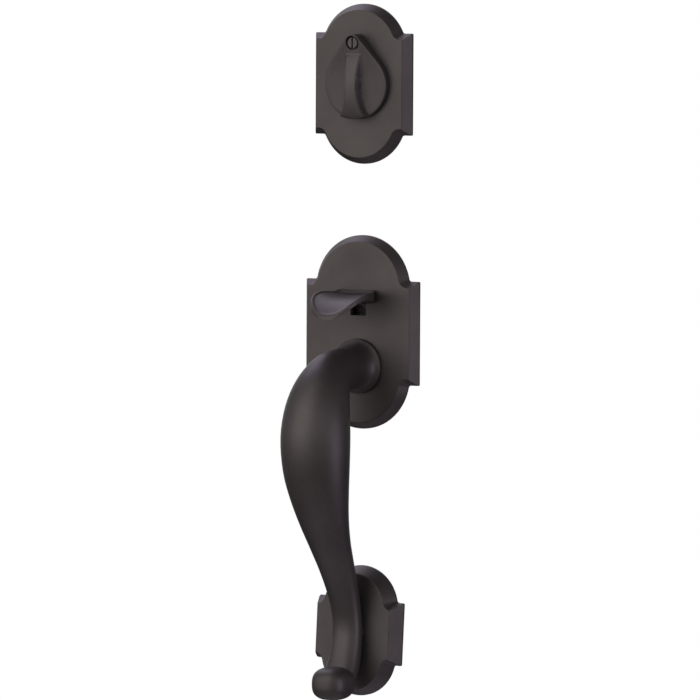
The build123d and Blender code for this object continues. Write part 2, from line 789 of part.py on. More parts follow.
def foot_plate():
    size = (foot_plate_width, foot_plate_height, foot_plate_wings, foot_plate_ledge)
    plate = plate_casting(*size, foot_plate_depth, foot_plate_bevel)
    plate -= disc(foot_stud_radius + foot_stud_fit, 0, foot_plate_depth + 1)
    return Pos(-foot_shift, grip_low, 0) * Rot(0, 0, -foot_turn) * plate


def foot_stud():
    return Pos(0, grip_low, 0) * disc(
        foot_stud_radius, foot_floor - foot_stud_in_post, foot_plate_depth + foot_stud_in_grip
    )


def foot_post():
    low = foot_floor - foot_post_length
    post = disc(foot_post_radius, low, foot_floor)
    post += disc(foot_flange_radius, foot_floor - foot_flange_height, foot_floor)
    post -= disc(foot_stud_radius, foot_floor - foot_stud_in_post - bore_runout, foot_floor + 1)
    post -= disc(foot_tap_radius, low - 1, low + foot_tap_depth)
    return Pos(0, grip_low, 0) * post


at_bolt = Pos(0, bolt_rise, 0)
upright = Location(Plane(origin=(0, 0, 0), x_dir=(1, 0, 0), z_dir=(0, -1, 0)))


def save(name, made, place=Pos(0, 0, 0)):
    """Write one node; a list of like pieces becomes one node of separate solids."""
    pieces = made if isinstance(made, list) else [made]
    solids = [upright * place * solid for piece in pieces for solid in piece.solids()]
    export_step(Compound(children=solids, label=name), f"parts/{name}.step")


os.makedirs("parts", exist_ok=True)
for node in (deadbolt_plate, cylinder_housing, cylinder_plug, key_pins, driver_pins, pin_springs, pin_cover):
    save(node.__name__, node(), at_bolt)
for node in (cylinder_clip, tailpiece, tailpiece_cap, keyway_flap, flap_screw, flap_washer):
    save(node.__name__, node(), at_bolt)
save("deadbolt_posts", post_pair(bolt_post_length), at_bolt)
save("latch_posts", post_pair(latch_post_length))
for node in (latch_plate, thumb_lever, thumb_bracket, bracket_screws, thumb_pin, thumb_pin_clip, thumb_spring):
    save(node.__name__, node())
for node in (grip, grip_bolt, grip_bolt_washer, foot_plate, foot_stud, foot_post):
    save(node.__name__, node())
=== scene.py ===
# %% [markdown]
# # An entry door handleset in dark bronze
# This lesson dresses a finished construction: the lock, the plates and the grip come as solids that
# already have their real size and place, and we give them the look of the real thing. We start by
# loading those solids as a fixed frame.

# %% Load the frame
import json
from math import atan2, cos, pi, radians, sin

import bpy
from mathutils import Matrix, Vector


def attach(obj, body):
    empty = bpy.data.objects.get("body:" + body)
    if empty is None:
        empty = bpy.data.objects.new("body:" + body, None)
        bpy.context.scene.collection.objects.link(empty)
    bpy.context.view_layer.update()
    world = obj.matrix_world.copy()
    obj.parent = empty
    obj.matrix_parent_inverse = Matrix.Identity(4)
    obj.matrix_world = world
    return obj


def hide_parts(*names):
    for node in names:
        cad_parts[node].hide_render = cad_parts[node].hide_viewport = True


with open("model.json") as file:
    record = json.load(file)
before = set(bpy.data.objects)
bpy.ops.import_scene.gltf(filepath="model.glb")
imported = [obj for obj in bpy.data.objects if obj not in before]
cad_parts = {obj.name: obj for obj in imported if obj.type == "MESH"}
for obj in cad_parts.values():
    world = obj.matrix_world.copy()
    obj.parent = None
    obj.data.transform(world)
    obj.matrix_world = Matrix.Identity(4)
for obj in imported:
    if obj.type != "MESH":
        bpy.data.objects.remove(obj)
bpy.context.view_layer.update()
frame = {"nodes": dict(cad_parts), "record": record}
MM = 0.001

# %% [markdown]
# ## Colour
# Colours are written as they look on a screen, so they are sRGB, while the renderer adds light in
# linear values. One function turns one into the other.

# %% Colours
def linear(hex_colour):
    """Linear red, green, blue and alpha of an sRGB hex colour."""
    values = []
    for start in (1, 3, 5):
        value = int(hex_colour[start : start + 2], 16) / 255
        values.append(value / 12.92 if value <= 0.04045 else ((value + 0.055) / 1.055) ** 2.4)
    return values + [1.0]


print("a screen's middle grey is", round(linear("#808080")[0], 3), "in linear light")

# %% [markdown]
# ## Nodes
# A second small function adds a shader node, sets it and links it, so that each material below reads
# like a list of what the surface is made of. A third one starts an empty material.

# %% Nodes
def add_node(tree, kind, links=None, stops=(), **settings):
    """Add a node. Settings name its sockets or properties, links its sources, stops its ramp's colours."""
    node = tree.nodes.new(kind)
    for name, value in settings.items():
        socket = name.replace("_", " ")
        if socket in node.inputs:
            node.inputs[socket].default_value = value
        else:
            setattr(node, name, value)
    for name, source in (links or {}).items():
        tree.links.new(source, node.inputs[name])
    if stops:
        elements = node.color_ramp.elements
        elements.remove(elements[-1])
        elements[0].position, elements[0].color = stops[0][0], linear(stops[0][1])
        for place, colour in stops[1:]:
            elements.new(place).color = linear(colour)
    return node


def new_material(name):
    """An empty material, and the node tree to fill."""
    material = bpy.data.materials.new(name)
    material.use_nodes = True
    material.node_tree.nodes.clear()
    return material, material.node_tree


# %% [markdown]
# ## Oil rubbed bronze
# The castings are solid brass under a chemical dark bronze finish that was rubbed with oil. It gives
# a near black brown that is satin, not matt: it spreads a light into a wide soft glow. The finish is
# a thin oxide layer, so it behaves half like a metal. Clouds a few centimetres wide make it a little
# lighter and darker, and the grain of the bead blasted casting, about a third of a millimetre, breaks
# the gloss.

# %% Oil rubbed bronze
cloud_size = 30 * MM
grain_size = 0.35 * MM
grain_depth = 0.03 * MM

bronze, tree = new_material("oil_rubbed_bronze")
place = add_node(tree, "ShaderNodeTexCoord").outputs["Object"]
clouds = add_node(
    tree, "ShaderNodeTexNoise", {"Vector": place}, Scale=1 / cloud_size, Detail=3.0, Roughness=0.5
)
tone = add_node(
    tree,
    "ShaderNodeValToRGB",
    {"Fac": clouds.outputs["Fac"]},
    stops=[(0.3, "#3e3938"), (0.7, "#494443")],
)
grain = add_node(
    tree, "ShaderNodeTexNoise", {"Vector": place}, Scale=1 / grain_size, Detail=2.0, Roughness=0.6
)
gloss = add_node(
    tree,
    "ShaderNodeMapRange",
    {"Value": grain.outputs["Fac"]},
    From_Min=0.3,
    From_Max=0.7,
    To_Min=0.44,
    To_Max=0.54,
)
bump = add_node(
    tree, "ShaderNodeBump", {"Height": grain.outputs["Fac"]}, Strength=0.12, Distance=grain_depth
)
surface = add_node(
    tree,
    "ShaderNodeBsdfPrincipled",
    {
        "Base Color": tone.outputs["Color"],
        "Roughness": gloss.outputs["Result"],
        "Normal": bump.outputs["Normal"],
    },
    Metallic=0.55,
)
add_node(tree, "ShaderNodeOutputMaterial", {"Surface": surface.outputs["BSDF"]})
finishes = {"dark_bronze": bronze}
print("bronze nodes", len(tree.nodes))

# %% [markdown]
# ## Steel, spring wire and brass
# The hidden hardware keeps its plain trade finishes. Zinc plated steel is a pale bluish metal with a
# faint clouding from the bath. Spring wire is bare drawn steel, a darker grey. The lock cylinder is
# machined brass, and a lathe leaves rings too fine to see, so it is only satin. The bracket is steel
# in black oxide, which hardly shines. All four are bare metals that differ in colour, in gloss and in
# the size of their patches, so one function makes them.

# %% Hardware metals
def plain_metal(name, low, high, patch_size, rough_low, rough_high):
    """A bare metal whose colour and gloss vary in patches of the given size."""
    material, tree = new_material(name)
    place = add_node(tree, "ShaderNodeTexCoord").outputs["Object"]
    patches = add_node(
        tree, "ShaderNodeTexNoise", {"Vector": place}, Scale=1 / patch_size, Detail=4.0, Roughness=0.6
    )
    tone = add_node(
        tree, "ShaderNodeValToRGB", {"Fac": patches.outputs["Fac"]}, stops=[(0.35, low), (0.65, high)]
    )
    gloss = add_node(
        tree,
        "ShaderNodeMapRange",
        {"Value": patches.outputs["Fac"]},
        From_Min=0.3,
        From_Max=0.7,
        To_Min=rough_low,
        To_Max=rough_high,
    )
    surface = add_node(
        tree,
        "ShaderNodeBsdfPrincipled",
        {"Base Color": tone.outputs["Color"], "Roughness": gloss.outputs["Result"]},
        Metallic=1.0,
    )
    add_node(tree, "ShaderNodeOutputMaterial", {"Surface": surface.outputs["BSDF"]})
    return material


finishes["zinc_steel"] = plain_metal("zinc_plated_steel", "#b4b8ba", "#c9ccce", 4 * MM, 0.28, 0.40)
finishes["spring_steel"] = plain_metal("drawn_spring_steel", "#85878a", "#9a9c9e", 1 * MM, 0.30, 0.38)
finishes["lock_brass"] = plain_metal("machined_brass", "#c9ad6a", "#d8be80", 5 * MM, 0.25, 0.35)
finishes["black_steel"] = plain_metal("black_oxide_steel", "#211f1f", "#2b2929", 3 * MM, 0.45, 0.55)
print("finishes", list(finishes))

# %% [markdown]
# ## Finish the solids
# The record that comes with the frame names a material slot for each solid. Each solid gets the
# finish of its slot, as the real pieces went through their baths before anyone put them together.

# %% Finish the solids
slot_of = {part["node"]: part["material_slot"] for part in frame["record"]["subparts"]}
for name, node in frame["nodes"].items():
    node.data.materials.clear()
    node.data.materials.append(finishes[slot_of[name]])
print("finished", len(slot_of), "nodes")

# %% [markdown]
# ## Modelling by hand, in code
# Three castings are softer than their solids: the grip, the thumbpiece and the keyway cover. They are
# modelled again here. Each starts as a tube or a sheet from Blender's own tools, and its points are
# then laid on the form, as a skin is pulled over a last. An operator acts on all that is selected, so
# everything is deselected before a piece is started. At the end doubles are merged and the faces are
# turned outwards.

# %% Open a piece, and close it up
double_distance = 0.004
smooth_angle = 40


def edit_all(piece):
    """Open a piece for editing with all of it selected."""
    bpy.ops.object.select_all(action="DESELECT")
    bpy.context.view_layer.objects.active = piece
    piece.select_set(True)
    bpy.ops.object.mode_set(mode="EDIT")
    bpy.ops.mesh.select_all(action="SELECT")


def close_up(piece):
    """Merge doubles, turn the faces outwards and shade all but the sharp edges smooth."""
    edit_all(piece)
    bpy.ops.mesh.remove_doubles(threshold=double_distance * MM)
    bpy.ops.mesh.normals_make_consistent(inside=False)
    bpy.ops.object.mode_set(mode="OBJECT")
    bpy.ops.object.shade_smooth_by_angle(angle=radians(smooth_angle))


print("edges over", smooth_angle, "degrees stay sharp")

# %% [markdown]
# ## Curves through stations
# A form is given by a few stations, and a curve that runs smoothly through them gives the steps in
# between. Here it is tried on the squares of 0 to 3, with one step between each two.

# %% Curves through stations
def flow(before, start, end, after, share):
    """A value on the smooth curve that runs through four stations, between the middle two."""
    bend = 2 * before - 5 * start + 4 * end - after
    twist = 3 * (start - end) + after - before
    return 0.5 * (2 * start + (end - before) * share + bend * share**2 + twist * share**3)


def flowing(stations, steps):
    """The stations, with smooth steps between them."""
    made = []
    last = len(stations) - 1
    for k in range(last):
        four = [stations[max(k - 1, 0)], stations[k], stations[k + 1], stations[min(k + 2, last)]]
        made += [[flow(*values, step / steps) for values in zip(*four)] for step in range(steps)]
    return made + [list(stations[last])]


print("squares", [round(step[0], 2) for step in flowing([(0,), (1,), (4,), (9,)], 2)])

# %% [markdown]
# ## The grip
# The grip is one casting that was poured and then worked over by hand. It leaves the plate through a
# trumpet, turns down, swells to a belly that fills the palm, thins to a waist at the foot plate and
# curls out into a blunt tail. Each station below gives the drop below the latch bore, the reach from
# the door, half the width, half the depth and how square the section is.

# %% Stations of the grip
grip_stations = [
    (18.9, 6.3, 15.2, 15.2, 0.0),
    (18.9, 6.6, 15.4, 15.4, 0.0),
    (18.9, 8.2, 15.4, 15.4, 0.0),
    (18.9, 8.6, 15.1, 15.1, 0.0),
    (18.9, 9.2, 14.0, 14.0, 0.0),
    (18.9, 10.2, 12.9, 12.9, 0.0),
    (18.9, 12.4, 11.8, 11.8, 0.0),
    (18.9, 15.6, 11.1, 11.1, 0.0),
    (18.9, 19.6, 11.0, 11.0, 0.0),
    (19.5, 27.9, 11.3, 11.3, 0.0),
    (22.9, 37.8, 12.9, 13.2, 0.0),
    (31.0, 45.9, 16.1, 15.7, 0.0),
    (42.0, 51.1, 18.7, 17.3, 0.0),
    (56.9, 53.3, 20.0, 18.3, 0.0),
    (74.3, 52.2, 19.3, 17.1, 0.0),
    (89.3, 48.5, 17.2, 14.9, 0.0),
    (102.9, 43.5, 14.8, 12.3, 0.0),
    (116.9, 36.7, 12.4, 9.9, 0.0),
    (130.7, 29.0, 10.6, 7.9, 0.1),
    (144.7, 22.0, 9.3, 6.7, 0.2),
    (157.5, 17.6, 8.6, 6.2, 0.3),
    (168.7, 16.5, 8.6, 6.2, 0.3),
    (179.0, 18.2, 8.9, 6.8, 0.3),
    (187.4, 21.2, 9.2, 6.9, 0.4),
    (194.0, 25.4, 9.2, 6.2, 0.6),
    (197.2, 31.0, 8.2, 5.6, 0.7),
]
grip_corners = 72
grip_rings = flowing(grip_stations, 4)
print("grip rings", len(grip_rings))

# %% [markdown]
# ## Sections of the grip
# Each ring stands square to the line that it is strung on, which the rings before and after it give.
# Its section is a circle pressed a little towards a square: the higher the power, the squarer it is.

# %% Sections of the grip
def pressed_circle(corner, power):
    """Side and front of a corner of the pressed circle."""
    turn_about = 2 * pi * corner / grip_corners
    side, front = cos(turn_about), sin(turn_about)
    stretch = (abs(side) ** power + abs(front) ** power) ** (-1 / power)
    return stretch * side, stretch * front


def on_grip(ring, corner):
    """Place of one corner of one ring of the grip."""
    drop, reach, half_width, half_depth, square = grip_rings[ring]
    before = grip_rings[max(ring - 1, 0)]
    after = grip_rings[min(ring + 1, len(grip_rings) - 1)]
    lean = atan2(after[0] - before[0], after[1] - before[1])
    side, front = pressed_circle(corner, 2 + 1.3 * square)
    through = half_depth * front
    return Vector((half_width * side, -(reach + through * sin(lean)), -drop + through * cos(lean))) * MM


print("widest section", round(2 * max(ring[2] for ring in grip_rings), 1), "mm")

# %% [markdown]
# ## A tube for the grip
# Long round castings start as a tube. A circle is extruded ring by ring, as one pulls a wall up from
# an edge by hand, and each point is then laid on its place on the form.

# %% Tube of the grip
def tube(name, corners, rings, place_of):
    """Extrude a circle ring by ring, lay each point on its place, and close both ends."""
    bpy.ops.object.select_all(action="DESELECT")
    bpy.ops.mesh.primitive_circle_add(vertices=corners, radius=MM)
    piece = bpy.context.object
    piece.name = name
    bpy.ops.object.mode_set(mode="EDIT")
    for _ in range(rings - 1):
        bpy.ops.mesh.extrude_region_move(TRANSFORM_OT_translate={"value": (0, 0, MM)})
    bpy.ops.object.mode_set(mode="OBJECT")
    for point in piece.data.vertices:
        ring = round(point.co.z / MM)
        corner = round(atan2(point.co.y, point.co.x) / (2 * pi) * corners) % corners
        point.co = place_of(ring, corner)
    edit_all(piece)
    bpy.ops.mesh.fill_holes(sides=0)
    bpy.ops.object.mode_set(mode="OBJECT")
    return piece


grip = tube("carved_grip", grip_corners, len(grip_rings), on_grip)
close_up(grip)
print("stem faces", len(grip.data.polygons))

# %% [markdown]
# ## The tail
# The curl ends in a pillow. It is a tube as well, whose rings grow and shrink between its two ends,
# so that it is round all over and a little square at its edges.

# %% Pillow of the tail
tail_rings = 41
tail_power = 2.7
tail_drop = 196.2
tail_middle = 32.2
tail_half_length = 12.3
tail_half_width = 10.6
tail_half_height = 9.3


def on_tail_end(ring, corner):
    """Place of one corner of one ring of the pillow."""
    rise = sin((ring / (tail_rings - 1) - 0.5) * pi)
    out = abs(rise) ** (2 / tail_power) * (1 if rise > 0 else -1)
    width = max(1 - abs(out) ** tail_power, 0.0) ** (1 / tail_power)
    side, front = pressed_circle(corner, tail_power)
    reach = tail_middle + tail_half_length * out
    up = tail_half_height * width * front
    return Vector((tail_half_width * width * side, -reach, -tail_drop + up)) * MM


tail_end = tube("tail_end", grip_corners, tail_rings, on_tail_end)
close_up(tail_end)
print("pillow faces", len(tail_end.data.polygons))

# %% [markdown]
# ## Joining and cutting
# A crease shows where the carver let the stem run into the pillow. The two are joined as bodies, by a
# boolean, which gives that crease. A single skin would wash it out.

# %% Stem and pillow
def combine_with(piece, other, operation):
    """Join or cut a piece with another object, which is used up."""
    modifier = piece.modifiers.new("shape", "BOOLEAN")
    modifier.operation = operation
    modifier.solver = "EXACT"
    modifier.object = other
    bpy.context.view_layer.objects.active = piece
    bpy.ops.object.modifier_apply(modifier=modifier.name)
    bpy.data.objects.remove(other)


combine_with(grip, tail_end, "UNION")
print("stem and pillow faces", len(grip.data.polygons))

# %% [markdown]
# ## Pad and bores
# A round pad at the waist bears on the foot plate. The boss is bored from behind for the bolt that
# holds it to the plate, and the waist for the stud of the foot. All three are rods that point out of
# the door, joined on or cut away.

# %% Pad and bores of the grip
boss_drop = 18.9
bolt_bore = 4.0
bolt_bore_end = 22.8
waist_drop = 168.7
waist_pad_radius = 6.6
waist_pad_start = 10.3
waist_pad_end = 15.3
stud_bore = 3.0
stud_bore_end = 18.8


def rod_out(radius, height, start, end):
    """A cylinder that points out of the door, between two distances from it, at a height."""
    bpy.ops.object.select_all(action="DESELECT")
    bpy.ops.mesh.primitive_cylinder_add(
        vertices=64,
        radius=radius * MM,
        depth=(end - start) * MM,
        location=(0, -(start + end) / 2 * MM, height * MM),
        rotation=(radians(90), 0, 0),
    )
    bpy.ops.object.transform_apply(location=True, rotation=True, scale=True)
    return bpy.context.object


combine_with(grip, rod_out(waist_pad_radius, -waist_drop, waist_pad_start, waist_pad_end), "UNION")
combine_with(grip, rod_out(bolt_bore, -boss_drop, 0, bolt_bore_end), "DIFFERENCE")
combine_with(grip, rod_out(stud_bore, -waist_drop, 0, stud_bore_end), "DIFFERENCE")
close_up(grip)
print("grip faces", len(grip.data.polygons))

# %% [markdown]
# ## Handing the grip over
# A piece that is ready gets its finish and takes the place of its solid. It also rides on the body of
# that solid, so that it moves along with it when the set is used.

# %% Hand the grip over
def dress(piece, node, body, finish):
    """Give a piece its finish, let it take its solid's place on its body, and print its size."""
    piece.data.materials.clear()
    piece.data.materials.append(finishes[finish])
    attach(piece, body)
    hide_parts(node)
    sides = zip(*[point.co for point in piece.data.vertices])
    spans = [round((max(side) - min(side)) / MM, 1) for side in sides]
    print(piece.name, "faces", len(piece.data.polygons), "size mm", spans)


dress(grip, "grip", "trim", "dark_bronze")

# %% [markdown]
# ## The thumbpiece
# The thumb rests in a spoon: broad, dished and turned down at its tip, with a raised rim that catches
# the light. Its outline is strung on stations from the tip to the back, each with its distance from
# the middle and its reach from the door.

# %% Outline of the thumbpiece
pad_back = 7.0
pad_tip = 43.3
back_half_width = 10.0
back_steps = 8

outline_stations = [
    (0.0, pad_tip),
    (4.9, 42.8),
    (9.3, 40.8),
    (13.4, 36.4),
    (15.9, 30.3),
    (16.6, 23.5),
    (15.4, 16.5),
    (12.7, 10.3),
    (11.0, 7.4),
]
half_outline = flowing(outline_stations, 5)
back_edge = [(back_half_width * (1 - k / back_steps), pad_back) for k in range(1, 2 * back_steps)]
pad_outline = half_outline + back_edge + [(-across, reach) for across, reach in reversed(half_outline[1:])]
print("outline points", len(pad_outline))

# %% [markdown]
# ## Dish and rim
# The rings of the tube start in the middle of the dish, run out over the rim and come back underneath.
# Each gives its share of the way out, its height above the dish or the underside, and 1 on top or 0
# below.

# %% Rings of the thumbpiece
pad_rings = [
    (0.02, 0.0, 1),
    (0.25, 0.0, 1),
    (0.45, 0.0, 1),
    (0.62, 0.0, 1),
    (0.76, 0.02, 1),
    (0.85, 0.05, 1),
    (0.89, 0.16, 1),
    (0.91, 0.42, 1),
    (0.93, 0.56, 1),
    (0.96, 0.58, 1),
    (0.985, 0.54, 1),
    (0.995, 0.40, 1),
    (1.0, 0.10, 1),
    (1.0, 0.35, 0),
    (0.99, 0.12, 0),
    (0.97, 0.0, 0),
    (0.9, 0.0, 0),
    (0.7, 0.0, 0),
    (0.4, 0.0, 0),
    (0.02, 0.0, 0),
]
print("rim rises", max(lift for share, lift, upper in pad_rings), "mm over the dish")

# %% [markdown]
# ## The spoon
# Two curves give the dish: it droops towards the tip and rises to both sides. The back edge turns up
# against the plate, so that the thumb can't slip in there, and the casting thins from its root to its
# tip.

# %% Spoon of the thumbpiece
pad_middle = 26.0
pad_top = 21.6
pad_droop = 12.1
dish_radius = 90.0
back_lip = 1.4
lip_start = 11.5
lip_run = 3.5
root_thickness = 5.4
tip_thinning = 4.0


def ease(value):
    """Smooth step from 0 to 1."""
    share = min(max(value, 0.0), 1.0)
    return share * share * (3 - 2 * share)


def on_pad(ring, corner):
    """Place of one corner of one ring of the spoon."""
    share, lift, upper = pad_rings[ring]
    across, reach = pad_outline[corner]
    across, reach = across * share, pad_middle + (reach - pad_middle) * share
    along = (reach - pad_back) / (pad_tip - pad_back)
    height = pad_top - pad_droop * along**4 + across**2 / (2 * dish_radius)
    height += upper * back_lip * ease((lip_start - reach) / lip_run)
    thickness = root_thickness - tip_thinning * along
    return Vector((across, -reach, height + lift - (1 - upper) * thickness)) * MM


thumbpiece = tube("thumb_spoon", len(pad_outline), len(pad_rings), on_pad)
close_up(thumbpiece)
print("spoon faces", len(thumbpiece.data.polygons))

# %% [markdown]
# ## Neck of the thumbpiece
# The neck passes through the plate to the pivot, and there the solid is as the real one is. So it is
# cut from a copy of the solid, just behind the spoon, and drawn out a little into the spoon.

# %% Neck of the thumbpiece
neck_cut = 6.9
neck_overlap = 3

neck = frame["nodes"]["thumb_lever"].copy()
neck.data = neck.data.copy()
bpy.context.scene.collection.objects.link(neck)
edit_all(neck)
bpy.ops.mesh.remove_doubles(threshold=double_distance * MM)
bpy.ops.mesh.select_all(action="SELECT")
bpy.ops.mesh.bisect(plane_co=(0, -neck_cut * MM, 0), plane_no=(0, -1, 0), use_fill=True, clear_outer=True)
bpy.ops.mesh.extrude_region_move(TRANSFORM_OT_translate={"value": (0, -neck_overlap * MM, 0)})
bpy.ops.object.mode_set(mode="OBJECT")
combine_with(thumbpiece, neck, "UNION")
close_up(thumbpiece)
dress(thumbpiece, "thumb_lever", "thumb", "dark_bronze")

# %% [markdown]
# ## The keyway cover
# The cover swings aside on its screw. Seen from the front it is a teardrop: a large circle round the
# lock, a small one round the screw, and two straight flanks that touch both. Two functions say how
# wide it is at a height over the lock's middle, and how far a point lies in from its edge.

# %% Outline of the cover
cover_radius = 19.6
lug_radius = 4.9
pivot_rise = 23.2
flank_slope = (cover_radius - lug_radius) / pivot_rise
flank_side = (1 - flank_slope**2) ** 0.5


def half_width_at(up):
    """Half width of the teardrop at a height over the lock's middle."""
    if up < cover_radius * flank_slope:
        return max(cover_radius**2 - up**2, 0.0) ** 0.5
    if up < pivot_rise + lug_radius * flank_slope:
        return (cover_radius - flank_slope * up) / flank_side
    return max(lug_radius**2 - (up - pivot_rise) ** 2, 0.0) ** 0.5


def inset_of(across, up):
    """Distance inwards from the outline."""
    along = abs(across) * -flank_slope + up * flank_side
    if along < 0:
        return cover_radius - (across**2 + up**2) ** 0.5
    if along > flank_side * pivot_rise:
        return lug_radius - (across**2 + (up - pivot_rise) ** 2) ** 0.5
    return cover_radius - abs(across) * flank_side - up * flank_slope


print("half width at the lock", half_width_at(0), "and at the screw", round(half_width_at(pivot_rise), 1))

# %% [markdown]
# ## Face of the cover
# The face rises from the foot to the lug under the screw, in a hollow sweep. At the foot it also
# swells a little towards the middle, where the ridge grows out of it.

# %% Face of the cover
rim_height = 3.0
lug_height = 7.5
sweep_power = 2.6
swell = 1.8
swell_reach = 15.0


def face_height(across, up):
    """Height of the face over the cover's back, without its ridge."""
    sweep = max((up + cover_radius) / (pivot_rise + cover_radius), 0.0) ** sweep_power
    face = rim_height + (lug_height - rim_height) * sweep
    return face + swell * max(1 - abs(across) / swell_reach, 0.0) ** 2 * (1 - sweep)


print("face at the lock", round(face_height(0, 0), 2), "and at the screw", face_height(0, pivot_rise), "mm")

# %% [markdown]
# ## Ridge of the cover
# The ridge is there to take hold of. It is narrow at its waist, wider at its top and flared at its
# foot, with soft walls and a crest that falls to both ends. It stops short of the screw.

# %% Ridge of the cover
waist_place = -3.0
waist_to_foot = 16.6
waist_to_top = 20.5
waist_half_width = 3.6
top_widening = 1.2
foot_widening = 1.0
foot_flare = 4.2
crest_place = -1.0
crest_run = 18.6
crest_height = 10.1
crest_end_height = 6.3
crest_foot_height = 7.2
crest_round = 0.35
wall_lead = 0.35
wall_width = 1.1
wall_foot_spread = 1.4
ridge_end = 17.6
ridge_end_lead = 2.2
ridge_end_run = 3.0


def ridge_rise(across, up, face):
    """Height of the ridge over the face."""
    below = max(waist_place - up, 0.0) / waist_to_foot
    above = max(up - waist_place, 0.0) / waist_to_top
    ridge_half = waist_half_width + top_widening * above**2 + foot_widening * below + foot_flare * below**3
    end_height = crest_end_height if up > crest_place else crest_foot_height
    crest = crest_height - (crest_height - end_height) * ((up - crest_place) / crest_run) ** 2
    crest -= crest_round * min(abs(across) / ridge_half, 1.0) ** 4
    wall = wall_width + wall_foot_spread * below
    ridge = 1 - ease((abs(across) - ridge_half + wall_lead) / wall)
    ridge *= 1 - ease((up - ridge_end + ridge_end_lead) / ridge_end_run)
    return max(crest - face, 0.0) * ridge


print("ridge over the face", round(ridge_rise(0, 0, face_height(0, 0)), 2), "mm")

# %% [markdown]
# ## Rim of the cover
# The face bends down a little as it nears the rim, and the edge itself is rounded.

# %% Rim of the cover
rim_fall = 0.2
rim_fall_reach = 2.6
edge_round = 0.45


def height_of(across, up):
    """Height of the cover's front over its back."""
    face = face_height(across, up)
    height = face + ridge_rise(across, up, face)
    inset = max(inset_of(across, up), 0.0)
    height -= rim_fall * max(1 - inset / rim_fall_reach, 0.0) ** 2
    curl = max(1 - inset / edge_round, 0.0)
    return height - edge_round * (1 - (1 - curl**2) ** 0.5)


print("height at the foot's rim", round(height_of(0, -cover_radius), 2), "mm")

# %% [markdown]
# ## The cover's sheet
# A flat sheet of small squares is pulled into the teardrop, row by row, and each point is lifted to
# the height of the form there. The squares are closer together near the edge, where the rim turns.
# The sheet's border is then drawn back to the plate's side and pressed flat, and the back is filled.

# %% Sheet of the cover
cover_back = 7.3
bore_height = 139.7

bpy.ops.object.select_all(action="DESELECT")
bpy.ops.mesh.primitive_grid_add(x_subdivisions=170, y_subdivisions=150, size=2)
cover = bpy.context.object
cover.name = "keyway_cover"
cover_middle = (pivot_rise + lug_radius - cover_radius) / 2
cover_reach = (pivot_rise + lug_radius + cover_radius) / 2
for point in cover.data.vertices:
    up = cover_middle + cover_reach * sin(point.co.y * pi / 2)
    across = half_width_at(up) * sin(point.co.x * pi / 2)
    point.co = Vector((across, -(cover_back + height_of(across, up)), bore_height + up)) * MM
edit_all(cover)
bpy.ops.mesh.remove_doubles(threshold=double_distance * MM)
bpy.ops.mesh.select_all(action="DESELECT")
bpy.ops.mesh.select_non_manifold()
bpy.ops.mesh.extrude_region_move(TRANSFORM_OT_translate={"value": (0, MM, 0)})
bpy.ops.transform.resize(value=(1, 0, 1), center_override=(0, -cover_back * MM, bore_height * MM))
bpy.ops.mesh.fill_holes(sides=0)
bpy.ops.object.mode_set(mode="OBJECT")
close_up(cover)
print("cover faces", len(cover.data.polygons))

# %% [markdown]
# ## Bores of the cover
# The screw's head sits in a seat at the lug, its shoulder in a bore below, and a shallow recess in the
# back keeps the cover off the rim of the lock.

# %% Bores of the cover
seat_radius = 4.1
seat_height = 4.9
pivot_bore = 2.26
recess_radius = 15.5
recess_depth = 0.9
drill_start = cover_back - 1
drill_end = cover_back + 12
pivot_height = bore_height + pivot_rise

combine_with(cover, rod_out(seat_radius, pivot_height, cover_back + seat_height, drill_end), "DIFFERENCE")
combine_with(cover, rod_out(pivot_bore, pivot_height, drill_start, drill_end), "DIFFERENCE")
combine_with(cover, rod_out(recess_radius, bore_height, drill_start, cover_back + recess_depth), "DIFFERENCE")
close_up(cover)
dress(cover, "keyway_flap", "flap", "dark_bronze")

# %% [markdown]
# ## Camera
# The photograph was taken from far away with a long lens, from 30 degrees to the right of the door's
# normal and a little above, and it is rolled by a third of a degree. Lines that run to the side slope
# more towards the foot of the set, and that slope gives the distance.

# %% Camera
picture_side = 700
view_turn = radians(30.0)
view_rise = radians(3.4)
view_roll = radians(0.3)
camera_distance = 4.5
pixels_per_metre = 1775.0
target = Vector((-6.6, -3.8, -10.3)) * MM

camera_data = bpy.data.cameras.new("camera")
camera_data.sensor_width = 36.0
camera_data.lens = pixels_per_metre * camera_distance * camera_data.sensor_width / picture_side
camera_data.clip_end = 50.0
camera = bpy.data.objects.new("camera", camera_data)
bpy.context.scene.collection.objects.link(camera)
away = Vector((sin(view_turn) * cos(view_rise), -cos(view_turn) * cos(view_rise), sin(view_rise)))
camera.location = target + camera_distance * away
turn = away.to_track_quat("Z", "Y").to_matrix() @ Matrix.Rotation(view_roll, 3, "Z")
camera.rotation_euler = turn.to_euler()
bpy.context.scene.camera = camera
print("lens", round(camera_data.lens, 1), "mm")

# %% [markdown]
# ## Dim studio
# A dark satin metal is little more than a picture of the room, so the room is built with care. The
# set was photographed in front of white paper, in a dim studio. The sky gets its direction from the
# texture coordinates. A ramp over the height makes it light round the horizon and dark overhead and
# below, and a ramp from front to back dims the half behind the set.

# %% Dim studio
world = bpy.data.worlds.new("white_studio")
bpy.context.scene.world = world
world.use_nodes = True
sky = world.node_tree
sky.nodes.clear()

